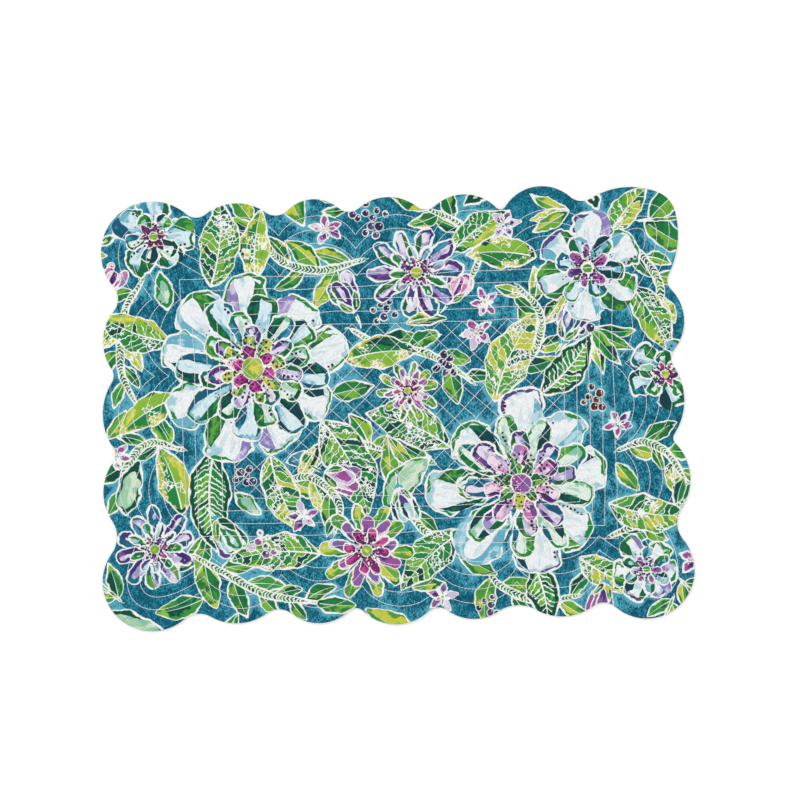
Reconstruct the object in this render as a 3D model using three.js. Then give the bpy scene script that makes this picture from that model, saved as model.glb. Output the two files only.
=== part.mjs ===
// A quilted cotton placemat with a scalloped edge, lying flat with its printed face up.
// Face cloth, wadding and backing are sewn through each other, so the mat is one closed sheet.
// Millimetres, +Z up. X runs along the mat and Y across it. The origin is the middle of the
// outline's own box, on the underside.

import * as THREE from "three";

// The whole sheet, pressed by its quilting.
const THICKNESS = 3;
// The turned edge thins and rounds over this width, and by this height on each face.
const EDGE_WIDTH = 1.8;
const EDGE_HEIGHT = 1.0;
const EDGE_STEPS = 2;
// The longest turn between two neighbouring points, on a lobe and in a notch.
const LOBE_STEP = THREE.MathUtils.degToRad(8);
const NOTCH_STEP = THREE.MathUtils.degToRad(18);
// Printed cotton: teal ground, matt.
const TEAL = 0x2b7f97;

// The scallops, clockwise from the first notch of the far long side. x and y are where the lobes
// on both sides of a notch would cross, round is the radius that softens the notch, and depth is
// how far the next lobe swells past its chord. The deep lobes are the corners. The far right
// corner is squarer, so three arcs draw it. They join without a notch, and round is 0 there.
const SCALLOPS = [
  { x: -161, y: 157, round: 12.5, depth: 18 },
  { x: -92, y: 154.5, round: 14, depth: 20 },
  { x: -34, y: 156.5, round: 13, depth: 18 },
  { x: 31, y: 158.5, round: 12, depth: 17.5 },
  { x: 93.5, y: 158.5, round: 5, depth: 20.5 },
  { x: 158, y: 162.5, round: 14.5, depth: 9.5 },
  { x: 223.5, y: 173.5, round: 0, depth: 2.5 },
  { x: 237.5, y: 157.5, round: 0, depth: 6.5 },
  { x: 226.5, y: 97.5, round: 11, depth: 16 },
  { x: 227, y: 36, round: 11.5, depth: 13 },
  { x: 229, y: -32, round: 5.5, depth: 19.5 },
  { x: 220, y: -103.5, round: 22, depth: 54 },
  { x: 170.5, y: -159.5, round: 14.5, depth: 20.5 },
  { x: 96.5, y: -153.5, round: 29.5, depth: 20 },
  { x: 31, y: -160.5, round: 12, depth: 19.5 },
  { x: -36.5, y: -160, round: 8.5, depth: 19 },
  { x: -99.5, y: -156, round: 17, depth: 18 },
  { x: -169.5, y: -158.5, round: 19, depth: 54 },
  { x: -222.5, y: -101.5, round: 23.5, depth: 17.5 },
  { x: -230, y: -33, round: 12, depth: 12.5 },
  { x: -230, y: 33.5, round: 10, depth: 16 },
  { x: -218.5, y: 97, round: 16, depth: 53.5 },
];

// The item that lies step places after index in a closed list.
function around(list, index, step) {
  return list[(index + step + list.length) % list.length];
}

// The circle of the lobe that runs clockwise from one notch to the next.
function lobeCircle(from, to, depth) {
  const start = new THREE.Vector2(from.x, from.y);
  const end = new THREE.Vector2(to.x, to.y);
  const chord = end.clone().sub(start);
  const length = chord.length();
  const radius = (length ** 2 / 4 + depth ** 2) / (2 * depth);
  const outward = new THREE.Vector2(-chord.y, chord.x).divideScalar(length);
  const middle = start.add(end).multiplyScalar(0.5);
  return { centre: middle.addScaledVector(outward, depth - radius), radius };
}

// The circle outside the mat that touches two neighbouring lobes and softens the notch.
function notchCircle(before, after, round) {
  const across = after.centre.clone().sub(before.centre);
  const gap = across.length();
  const first = before.radius + round;
  const second = after.radius + round;
  const along = (gap ** 2 + first ** 2 - second ** 2) / (2 * gap);
  const aside = Math.sqrt(first ** 2 - along ** 2);
  const unit = across.divideScalar(gap);
  const outward = new THREE.Vector2(-unit.y, unit.x);
  const centre = before.centre.clone().addScaledVector(unit, along).addScaledVector(outward, aside);
  return { centre, radius: round };
}

// Points of a circle from the side of one centre round to the side of another, which is left out.
// turn is 1 for anticlockwise and -1 for clockwise.
function arcPoints(circle, from, to, turn, step) {
  const start = from.clone().sub(circle.centre).angle();
  const end = to.clone().sub(circle.centre).angle();
  const sweep = turn * THREE.MathUtils.euclideanModulo((end - start) * turn, 2 * Math.PI);
  const count = Math.max(2, Math.ceil(Math.abs(sweep) / step));
  return Array.from({ length: count }, (_, i) => {
    const angle = start + (sweep * i) / count;
    const arm = new THREE.Vector2(Math.cos(angle), Math.sin(angle));
    return circle.centre.clone().addScaledVector(arm, circle.radius);
  });
}

// The closed outline, clockwise, centred on its own box.
function outline() {
  const lobes = SCALLOPS.map((notch, i) => lobeCircle(notch, around(SCALLOPS, i, 1), notch.depth));
  const notches = SCALLOPS.map((notch, i) =>
    notch.round > 0
      ? notchCircle(around(lobes, i, -1), lobes[i], notch.round)
      : { centre: new THREE.Vector2(notch.x, notch.y), radius: 0 },
  );
  const points = lobes.flatMap((lobe, i) => {
    const here = notches[i];
    const next = around(notches, i, 1);
    const nextLobe = around(lobes, i, 1);
    const arc = arcPoints(lobe, here.centre, next.centre, -1, LOBE_STEP);
    if (next.radius === 0) {
      return arc;
    }
    return [...arc, ...arcPoints(next, lobe.centre, nextLobe.centre, 1, NOTCH_STEP)];
  });
  const middle = new THREE.Box2().setFromPoints(points).getCenter(new THREE.Vector2());
  return points.map((point) => point.sub(middle));
}

// The sheet: the outline raised to its thickness, with both rims rounded inside it.
function sheetGeometry() {
  const geometry = new THREE.ExtrudeGeometry(new THREE.Shape(outline()), {
    depth: THICKNESS - 2 * EDGE_HEIGHT,
    steps: 1,
    bevelThickness: EDGE_HEIGHT,
    bevelSize: EDGE_WIDTH,
    bevelOffset: -EDGE_WIDTH,
    bevelSegments: EDGE_STEPS,
  });
  return geometry.translate(0, 0, EDGE_HEIGHT);
}

const mat = new THREE.Mesh(
  sheetGeometry(),
  new THREE.MeshStandardMaterial({ color: TEAL, roughness: 0.9, metalness: 0 }),
);
mat.name = "mat";

const placemat = new THREE.Group();
placemat.add(mat);

export default placemat;
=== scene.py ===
"""The looks of a quilted, scalloped placemat: its cloth, its thread and its printed flowers."""

import math
from collections import namedtuple
from types import SimpleNamespace

import bpy
import numpy as np
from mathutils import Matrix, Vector
from mathutils.geometry import delaunay_2d_cdt
from mathutils.kdtree import KDTree


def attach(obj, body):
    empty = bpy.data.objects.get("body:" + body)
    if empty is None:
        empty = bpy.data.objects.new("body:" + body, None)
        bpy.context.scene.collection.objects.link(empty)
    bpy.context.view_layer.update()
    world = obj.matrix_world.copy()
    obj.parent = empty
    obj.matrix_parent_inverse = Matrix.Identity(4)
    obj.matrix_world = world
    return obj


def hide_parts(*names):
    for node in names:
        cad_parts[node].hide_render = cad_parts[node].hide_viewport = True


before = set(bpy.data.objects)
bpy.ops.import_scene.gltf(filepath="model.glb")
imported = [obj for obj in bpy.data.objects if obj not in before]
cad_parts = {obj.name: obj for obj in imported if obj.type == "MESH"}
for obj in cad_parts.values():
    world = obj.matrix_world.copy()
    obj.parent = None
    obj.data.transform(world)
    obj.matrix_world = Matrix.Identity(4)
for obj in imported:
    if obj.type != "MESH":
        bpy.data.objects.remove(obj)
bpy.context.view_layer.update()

bl_info = {
    "name": "Quilted placemat",
    "version": (1, 1, 0),
    "blender": (4, 5, 0),
    "location": "3D View > Sidebar > Placemat",
    "description": "Builds a quilted cotton placemat with a scalloped edge and a floral print",
    "category": "Object",
}

# Shapes are worked out in millimetres, and 2-D points are complex numbers, x + 1j * y.
MM = 0.001
TINY = 1e-9
# Distances to a ring are worked out for this many points at a time.
BATCH = 4000

# The scallops, clockwise from the first notch of the far long side. x and y are where the lobes
# on both sides of a notch would cross, round softens the notch, and depth is how far the next
# lobe swells past its chord. The deep lobes are the corners. The far right corner is squarer, so
# three arcs draw it. They join without a notch, and round is 0 there.
Scallop = namedtuple("Scallop", "x y round depth")
SCALLOPS = [
    Scallop(-161, 157, 12.5, 18),
    Scallop(-92, 154.5, 14, 20),
    Scallop(-34, 156.5, 13, 18),
    Scallop(31, 158.5, 12, 17.5),
    Scallop(93.5, 158.5, 5, 20.5),
    Scallop(158, 162.5, 14.5, 9.5),
    Scallop(223.5, 173.5, 0, 2.5),
    Scallop(237.5, 157.5, 0, 6.5),
    Scallop(226.5, 97.5, 11, 16),
    Scallop(227, 36, 11.5, 13),
    Scallop(229, -32, 5.5, 19.5),
    Scallop(220, -103.5, 22, 54),
    Scallop(170.5, -159.5, 14.5, 20.5),
    Scallop(96.5, -153.5, 29.5, 20),
    Scallop(31, -160.5, 12, 19.5),
    Scallop(-36.5, -160, 8.5, 19),
    Scallop(-99.5, -156, 17, 18),
    Scallop(-169.5, -158.5, 19, 54),
    Scallop(-222.5, -101.5, 23.5, 17.5),
    Scallop(-230, -33, 12, 12.5),
    Scallop(-230, 33.5, 10, 16),
    Scallop(-218.5, 97, 16, 53.5),
]

# The quilting. Four rows echo the scallops and turn sharply at each notch. x and y are where the
# innermost row turns, out_x and out_y where the outermost does, and swell is how far the next
# lobe of the outermost row stands past its turns. Then come five frames, one inside the other,
# and a diamond grid that fills the last frame.
Turn = namedtuple("Turn", "x y out_x out_y swell")
TURNS = [
    Turn(-154.5, 113.5, -155.6, 145.2, 16.8),
    Turn(-92, 112, -91.6, 145, 16.8),
    Turn(-28, 110.5, -28, 144.5, 16.8),
    Turn(37, 109.5, 36.5, 144.8, 17.2),
    Turn(100, 111, 99.5, 144.5, 17.2),
    Turn(167.2, 113.8, 166.2, 145, 53.5),
    Turn(182.4, 93.8, 214.2, 93.8, 17.6),
    Turn(182.5, 31, 214.4, 31, 17),
    Turn(182.5, -33, 214.4, -33, 17.8),
    Turn(183.4, -98, 214.6, -96.2, 50),
    Turn(167.2, -111.8, 165.4, -146.6, 17.4),
    Turn(99.5, -111.6, 97.5, -147.6, 17.4),
    Turn(33.6, -112.8, 31.8, -147.3, 18),
    Turn(-30.2, -113.6, -29.9, -146.8, 17.4),
    Turn(-96, -113.8, -98, -146.6, 17.2),
    Turn(-161, -114.2, -161.2, -145.5, 50),
    Turn(-175.2, -95.8, -209, -95.2, 19.6),
    Turn(-174.8, -28.4, -210.8, -29.2, 18.4),
    Turn(-174.8, 31.4, -210.4, 31.4, 18),
    Turn(-175.4, 95.4, -210.8, 95.8, 47),
]
ROW_COUNT = 4
# Lobes that swell further than this are corners. A corner's sides lean out by some degrees, and it
# stands out less in the innermost row than in the outermost.
CORNER_SWELL = 30
CORNER_LEAN = 9
INNER_CORNER_SHARE = 0.78
CORNER_POINTS = 120
QUILT_CENTRE = 3.8 - 0.8j
FRAME_HALF_LENGTH = 179.2
FRAME_HALF_WIDTH = 112.8
FRAME_PITCH = 10.35
FRAME_COUNT = 5
DIAMONDS_LONG = 15
DIAMONDS_SHORT = 8
# Guiding the cloth by hand makes every line sway by about this much, over this length.
SWAY = 0.8
SWAY_LENGTH = 70
# Lines are worked out in steps of this length, and turns past this many radians are corners.
LINE_STEP = 1.0
SHARP_TURN = 0.5
NOISE_WAVES = 5

# How uneven the quilted cloth is, in millimetres or as a share. Each width or reach says how far
# from a seam, a crease or the edge it fades.
PUFF_CHANGE = 0.13
TUCK_HEIGHT = 0.07
TUCK_REACH = 3.5
CREASE_DEPTH = 0.3
CREASE_WIDTH = 1.3
CREASE_REACH = 7
WAVE_HEIGHT = 0.12
BORDER_LIFT = 0.45
BORDER_REACH = 14
# Rings of points inside the edge that round it, on the face and on the back.
FACE_RINGS = (0.3, 0.8, 1.6)
BACK_RINGS = (0.4, 1.4)
# Each crease starts this far inside its notch, which lies about so far outside the corner point.
CREASE_INSET = 1.2
NOTCH_SHIFT = 8
# Free points of the mesh keep these shares of its spacing from the lines and from the edge.
LINE_CLEARANCE = 0.62
EDGE_CLEARANCE = 0.6
# Points closer than this are one.
MERGE = 1e-4
# The layout for a texture: its margin, how high the back is in it and where the back starts.
MAP_MARGIN = 0.01
MAP_BACK_SHARE = 0.32
MAP_BACK_START = 0.75


def linear(colour):
    """A colour written as #RRGGBB, as the linear values that a shader takes."""
    values = []
    for i in (1, 3, 5):
        value = int(colour[i : i + 2], 16) / 255
        values.append(value / 12.92 if value <= 0.04045 else ((value + 0.055) / 1.055) ** 2.4)
    return (*values, 1.0)


def size(name, description, millimetres, low=0.0):
    """A length that the panel shows in the scene's units."""
    return bpy.props.FloatProperty(
        name=name,
        description=description,
        default=millimetres * MM,
        min=low * MM,
        unit="LENGTH",
        precision=5,
    )


def tint(name, description, colour):
    """A colour that the panel shows as a colour field."""
    return bpy.props.FloatVectorProperty(
        name=name,
        description=description,
        default=linear(colour),
        size=4,
        min=0.0,
        max=1.0,
        subtype="COLOR",
    )


class QuiltSizes(bpy.types.PropertyGroup):
    """Sizes of the quilted sheet and of its thread."""

    grain: size("Face mesh", "Distance between points of the face", 1.75, 1.2)
    back_grain: size("Back mesh", "Distance between points of the back", 3.4, 2.0)
    seam_height: size("Seam height", "Height of the flattened sheet's middle on a seam", 1.25)
    seam_half: size("Seam half thickness", "Half the sheet's thickness on a seam", 0.6)
    face_puff: size("Face puff", "How far the face swells between seams", 0.85)
    back_puff: size("Back puff", "How far the back swells between seams", 0.65)
    puff_width: size("Puff width", "Distance over which the cloth rises from a seam", 2.9, 0.1)
    rim_width: size("Rim width", "Width over which the turned edge rounds", 1.6, 0.1)
    stitch: size("Stitch", "Length of one quilting stitch", 3.0, 2.8)
    thread: size("Thread", "Diameter of the quilting thread", 0.58)


class PrintColours(bpy.types.PropertyGroup):
    """Colours of the cloth's ground, of its backing and of the thread."""

    deep: tint("Deep ground", "Darkest patches of the ground", "#054A60")
    middle: tint("Ground", "Most of the ground", "#17738A")
    pale: tint("Pale ground", "Washed patches of the ground", "#4EA1B6")
    halo: tint("Halo", "Ground beside flowers and leaves", "#60B0C4")
    resist: tint("Outline", "White outlines and gaps", "#E9EAEA")
    fringe: tint("Fringe", "Faint edge inside the outlines", "#CFD6A0")
    backing: tint("Backing", "Plain cotton of the back", "#EFEBE1")
    face_thread: tint("Face thread", "Quilting thread on the face", "#F3EEF1")
    back_thread: tint("Back thread", "Quilting thread on the back", "#EDE9E2")


def shaped_noise(points, length, seed):
    """A smooth uneven field between about -1 and 1, the sum of a few waves of random direction."""
    random = np.random.RandomState(seed)
    total = np.zeros(len(points))
    for _ in range(NOISE_WAVES):
        turn = np.exp(1j * random.uniform(0, 2 * np.pi))
        wave = length * random.uniform(0.7, 1.5)
        total += np.sin(2 * np.pi * (points * turn).real / wave + random.uniform(0, 6.3))
    return total / math.sqrt(NOISE_WAVES * 1.5)


def lobe_circle(start, end, depth):
    """Centre and radius of the lobe that swells by depth to the left of start to end."""
    chord = end - start
    radius = (abs(chord) ** 2 / 4 + depth**2) / (2 * depth)
    outward = 1j * chord / abs(chord)
    return (start + end) / 2 + outward * (depth - radius), radius


def notch_circle(before, after, round_radius):
    """Centre and radius of the circle outside the mat that touches two neighbouring lobes."""
    across = after[0] - before[0]
    gap = abs(across)
    first = before[1] + round_radius
    second = after[1] + round_radius
    along = (gap**2 + first**2 - second**2) / (2 * gap)
    aside = math.sqrt(first**2 - along**2)
    return before[0] + across / gap * (along + 1j * aside), round_radius


def arc(circle, start, end, turn, spacing, grow=0.0):
    """Points of a circle from the side of start round to that of end, which is left out."""
    centre, radius = circle
    first = np.angle(start - centre)
    sweep = turn * ((np.angle(end - centre) - first) * turn % (2 * math.pi))
    count = max(2, math.ceil(abs(sweep) * radius / spacing))
    angles = first + sweep * np.arange(count) / count
    return centre + (radius + grow) * np.exp(1j * angles)


def outline(spacing, inset=0.0):
    """The mat's closed edge, clockwise, or a ring that runs inset inside it."""
    corners = [complex(s.x, s.y) for s in SCALLOPS]
    count = len(corners)
    lobes = [
        lobe_circle(corners[i], corners[(i + 1) % count], SCALLOPS[i].depth) for i in range(count)
    ]
    notches = [
        notch_circle(lobes[i - 1], lobes[i], s.round) if s.round else (corners[i], 0)
        for i, s in enumerate(SCALLOPS)
    ]
    rings = {}
    for grow in (0.0, inset):
        parts = []
        for i, lobe in enumerate(lobes):
            after = (i + 1) % count
            here, there = notches[i][0], notches[after][0]
            parts.append(arc(lobe, here, there, -1, spacing, -grow))
            if SCALLOPS[after].round:
                parts.append(arc(notches[after], lobe[0], lobes[after][0], 1, spacing, grow))
        rings[grow] = np.concatenate(parts)
    edge = rings[0.0]
    middle = complex(
        (edge.real.max() + edge.real.min()) / 2, (edge.imag.max() + edge.imag.min()) / 2
    )
    return rings[inset] - middle


def resample(path, spacing):
    """The path again, with points a whole number of equal steps apart."""
    lengths = np.concatenate([[0], np.cumsum(abs(np.diff(path)))])
    count = max(1, round(lengths[-1] / spacing))
    at = np.linspace(0, lengths[-1], count + 1)
    return np.interp(at, lengths, path.real) + 1j * np.interp(at, lengths, path.imag)


def corner_lobe(start, end, depth):
    """A lobe with nearly straight sides and a round end, which points out along the diagonal."""
    middle = (start + end) / 2
    diagonal = complex(math.copysign(1, middle.real), math.copysign(1, middle.imag)) / math.sqrt(2)
    lean = math.radians(CORNER_LEAN)
    # A curve with four points swells by three quarters of what its arms reach.
    arm = depth / (0.75 * math.cos(lean))
    first = start + arm * diagonal * np.exp(-1j * lean)
    second = end + arm * diagonal * np.exp(1j * lean)
    t = np.linspace(0, 1, CORNER_POINTS, endpoint=False)
    return (
        start * (1 - t) ** 3
        + 3 * first * (1 - t) ** 2 * t
        + 3 * second * (1 - t) * t**2
        + end * t**3
    )


def echo_row(row):
    """One closed row of quilting that follows the scallops, 0 for the outermost."""
    share = row / (ROW_COUNT - 1)
    points = [
        complex(turn.x, turn.y) * share + complex(turn.out_x, turn.out_y) * (1 - share)
        for turn in TURNS
    ]
    parts = []
    for turn, start, end in zip(TURNS, points, points[1:] + points[:1]):
        if turn.swell > CORNER_SWELL:
            depth = turn.swell * (1 - share * (1 - INNER_CORNER_SHARE))
            parts.append(corner_lobe(start, end, depth))
        else:
            parts.append(arc(lobe_circle(start, end, turn.swell), start, end, -1, LINE_STEP))
    return np.concatenate(parts + [points[:1]])


def frame_line(index):
    """One closed rectangle of quilting, 0 for the outermost."""
    x = FRAME_HALF_LENGTH - index * FRAME_PITCH
    y = FRAME_HALF_WIDTH - index * FRAME_PITCH
    corners = np.array([-x + 1j * y, x + 1j * y, x - 1j * y, -x - 1j * y, -x + 1j * y])
    return corners + QUILT_CENTRE


def diamond_lines():
    """The grid's slanted lines, from side to side of the last frame. None starts at a corner."""
    cell = (frame_line(FRAME_COUNT - 1)[1] - QUILT_CENTRE) * 2
    step_x = cell.real / (2 * DIAMONDS_LONG)
    step_y = cell.imag / (2 * DIAMONDS_SHORT)
    lines = []
    for offset in range(1 - 2 * DIAMONDS_SHORT, 2 * DIAMONDS_LONG, 2):
        first = max(0, -offset)
        last = min(2 * DIAMONDS_SHORT, 2 * DIAMONDS_LONG - offset)
        rise = np.array([first, last])
        x = step_x * (offset + rise) - cell.real / 2
        y = step_y * rise - cell.imag / 2
        for mirror in (1, -1):
            lines.append(mirror * x + 1j * y + QUILT_CENTRE)
    return lines


def quilting_lines():
    """Every line of quilting on the mat, as hand-guided as the real ones."""
    lines = [echo_row(row) for row in range(ROW_COUNT)]
    lines += [frame_line(index) for index in range(FRAME_COUNT)]
    lines += diamond_lines()
    guided = []
    for line in lines:
        corners = [resample(line[i : i + 2], LINE_STEP)[:-1] for i in range(len(line) - 1)]
        fine = np.concatenate(corners + [line[-1:]])
        sway = shaped_noise(fine, SWAY_LENGTH, 11) + 1j * shaped_noise(fine, SWAY_LENGTH, 12)
        guided.append(fine + SWAY * sway)
    return guided


def split_at_corners(line):
    """The line cut where it turns sharply, so that resampling keeps its points."""
    steps = np.diff(line)
    turns = abs(np.angle(steps[1:] / steps[:-1]))
    cuts = [0, *(np.nonzero(turns > SHARP_TURN)[0] + 1), len(line) - 1]
    return [line[a : b + 1] for a, b in zip(cuts, cuts[1:]) if b > a]


class Nearest:
    """Finds how far points lie from a set of paths."""

    def __init__(self, paths, spacing=0.4):
        fine = np.concatenate([resample(path, spacing) for path in paths])
        self.tree = KDTree(len(fine))
        for i, point in enumerate(fine):
            self.tree.insert((point.real, point.imag, 0.0), i)
        self.tree.balance()

    def distance(self, points):
        return np.array([self.tree.find((p.real, p.imag, 0.0))[2] for p in points])


class Sheet:
    """The quilted sheet's shape: its edge, its seams and the height of both faces."""

    def __init__(self, sizes):
        self.sizes = SimpleNamespace(
            **{name: getattr(sizes, name) / MM for name in QuiltSizes.__annotations__}
        )
        self.edge = outline(self.sizes.grain)
        closed = np.append(self.edge, self.edge[0])
        self.seams = [piece for line in quilting_lines() for piece in split_at_corners(line)]
        self.creases = self.notch_creases()
        self.to_seam = Nearest(self.seams)
        self.to_edge = Nearest([closed])
        self.to_crease = Nearest(self.creases)

    def notch_creases(self):
        """Short tucks that run inwards from each notch, where the turned edge pulls."""
        random = np.random.RandomState(5)
        ring = outline(0.5, CREASE_INSET)
        creases = []
        for scallop in SCALLOPS:
            if not scallop.round:
                continue
            corner = complex(scallop.x, scallop.y)
            start = ring[np.argmin(abs(ring - corner - NOTCH_SHIFT * corner / abs(corner)))]
            inward = -start / abs(start) * np.exp(1j * random.uniform(-0.3, 0.3))
            creases.append(start + inward * np.array([0.0, random.uniform(5, 10)]))
        return creases

    def distances(self, points):
        return self.to_seam.distance(points), self.to_edge.distance(points)

    def heights(self, points, seam, edge, face):
        """Height of one face over points, given how far they lie from seams and edge."""
        sizes = self.sizes
        puff = 1 - np.exp(-seam / sizes.puff_width)
        puff *= 1 + PUFF_CHANGE * shaped_noise(points, 38, 21)
        # The seams draw the cloth into small tucks that cross them.
        tuck = shaped_noise(points, 6.5, 22 if face else 23) * np.exp(-seam / TUCK_REACH)
        crease = np.exp(-((self.to_crease.distance(points) / CREASE_WIDTH) ** 2))
        crease = crease * np.exp(-edge / CREASE_REACH)
        swell = (sizes.face_puff if face else sizes.back_puff) * puff
        half = sizes.seam_half + swell + TUCK_HEIGHT * tuck * (0.3 + puff) - CREASE_DEPTH * crease
        inside = np.clip(edge / sizes.rim_width, 0, 1)
        rim = np.sqrt(1 - (1 - inside) ** 2)
        # The border stands a little off the table here and there.
        lift = np.exp(-edge / BORDER_REACH)
        lift = lift * np.clip(BORDER_LIFT * shaped_noise(points, 130, 25), 0, None)
        middle = sizes.seam_height + (WAVE_HEIGHT * (1 + shaped_noise(points, 90, 24)) + lift)
        if face:
            return middle + half * rim
        return np.maximum(middle - half * rim, 0.0)


def hexagon_points(spacing, low, high):
    """Points of a triangular grid over a box of two opposite corners."""
    rows = np.arange(low.imag, high.imag, spacing * math.sqrt(0.75))
    columns = np.arange(low.real, high.real, spacing)
    x, y = np.meshgrid(columns, rows)
    x[1::2] += spacing / 2
    return (x + 1j * y).ravel()


def edge_first(places, faces, origins, count):
    """Points and faces renumbered, so that the count points given first are the first again."""
    order = [-1] * count
    for new, old in enumerate(origins):
        for i in old:
            if i < count:
                order[i] = new
    chosen = set(order)
    order += [i for i in range(len(places)) if i not in chosen]
    renumber = np.empty(len(places), int)
    renumber[order] = np.arange(len(places))
    return np.array([complex(*places[i]) for i in order]), renumber[np.array(faces)]


def mesh_plane(sheet, spacing, ring_insets):
    """Triangles inside the edge that follow every seam: points, with the edge first, and faces."""
    edge = sheet.edge
    count = len(edge)
    fixed = [edge]
    links = [np.stack([np.arange(count), np.roll(np.arange(count), -1)], 1)]
    total = count
    for inset in ring_insets:
        fixed.append(outline(sheet.sizes.grain, inset))
        total += count
    for path in [*sheet.seams, *sheet.creases]:
        points = resample(path, spacing)
        links.append(total + np.stack([np.arange(len(points) - 1), np.arange(1, len(points))], 1))
        fixed.append(points)
        total += len(points)
    fixed = np.concatenate(fixed)
    low = complex(edge.real.min(), edge.imag.min())
    high = complex(edge.real.max(), edge.imag.max())
    free = hexagon_points(spacing, low, high)
    free = free[Nearest([fixed], spacing).distance(free) > LINE_CLEARANCE * spacing]
    free = free[edge_distance(free, edge[::2]) < -EDGE_CLEARANCE * spacing]
    points = np.concatenate([fixed, free])
    corners = [Vector((p.real, p.imag)) for p in points]
    result = delaunay_2d_cdt(corners, np.concatenate(links).tolist(), [], 0, MERGE, True)
    places, faces = edge_first(result[0], result[2], result[3], count)
    # A face with all its corners on the edge bridges a notch, outside the mat.
    return places, faces[(faces >= count).any(axis=1)]


def offsets(points, start, side):
    """How far along each side the nearest place to each point lies, and the way from there."""
    offset = points[:, None] - start
    t = np.clip((offset * side.conj()).real / (abs(side) ** 2 + TINY), 0, 1)
    return t, offset - t * side


def edge_distance(points, ring):
    """Signed distance from points to a closed ring, below zero inside it."""
    start, side = ring, np.roll(ring, -1) - ring
    result = np.empty(len(points))
    for first in range(0, len(points), BATCH):
        part = points[first : first + BATCH]
        nearest = abs(offsets(part, start, side)[1]).min(axis=1)
        part = part[:, None]
        above = start.imag > part.imag
        crossing = above != np.roll(above, -1, axis=1)
        slope = side.real / np.where(abs(side.imag) < TINY, TINY, side.imag)
        reach = start.real + (part.imag - start.imag) * slope
        inside = (crossing & (part.real < reach)).sum(axis=1) % 2 == 1
        result[first : first + BATCH] = np.where(inside, -nearest, nearest)
    return result


# How marks of one style are painted. edge is the width of the white outline in mm. split darkens
# one half and deepen darkens the root. pitch fills the mark with slanted bands that many mm apart,
# gap is their white share, and rib is the width of a white midrib. rim is how much of the edge has
# a stroke inside it, dashes is how many short strokes there are near the root, and cells is how
# readily it breaks into round cells.
Style = namedtuple("Style", "edge split deepen pitch gap rib rim dashes cells")
STYLES = {
    "banded": Style(0.9, 0.5, 0.2, 6.2, 0.15, 0.7, 0.4, 0, 0.3),
    "fishbone": Style(1.0, 0.3, 0.1, 4.8, 0.25, 0.9, 1, 0, 0),
    "split": Style(0.9, 1, 0.3, 0, 0, 0.6, 0.4, 0, 0.8),
    "leaf": Style(0.8, 0.8, 0.4, 0, 0, 0.3, 0.45, 0, 0),
    "pale leaf": Style(1.0, 0.4, 0.3, 0, 0, 0, 0.9, 0, 0),
    "petal": Style(1.1, 0, 0.3, 0, 0, 0, 0.75, 0.5, 0),
    "small petal": Style(0.8, 0.3, 0.5, 0, 0, 0, 0.45, 0.5, 0),
    "bead": Style(0.45, 0.3, 0.2, 0, 0, 0, 0.3, 0, 0),
    "stem": Style(1.0, 0, 0, 3.0, 0.38, 0, 0, 0, 0),
    "thin stem": Style(0.8, 0, 0, 0, 0, 0, 0, 0, 0),
    "stroke": Style(0, 0, 0.2, 0, 0, 0, 0, 0, 0),
}

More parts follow.
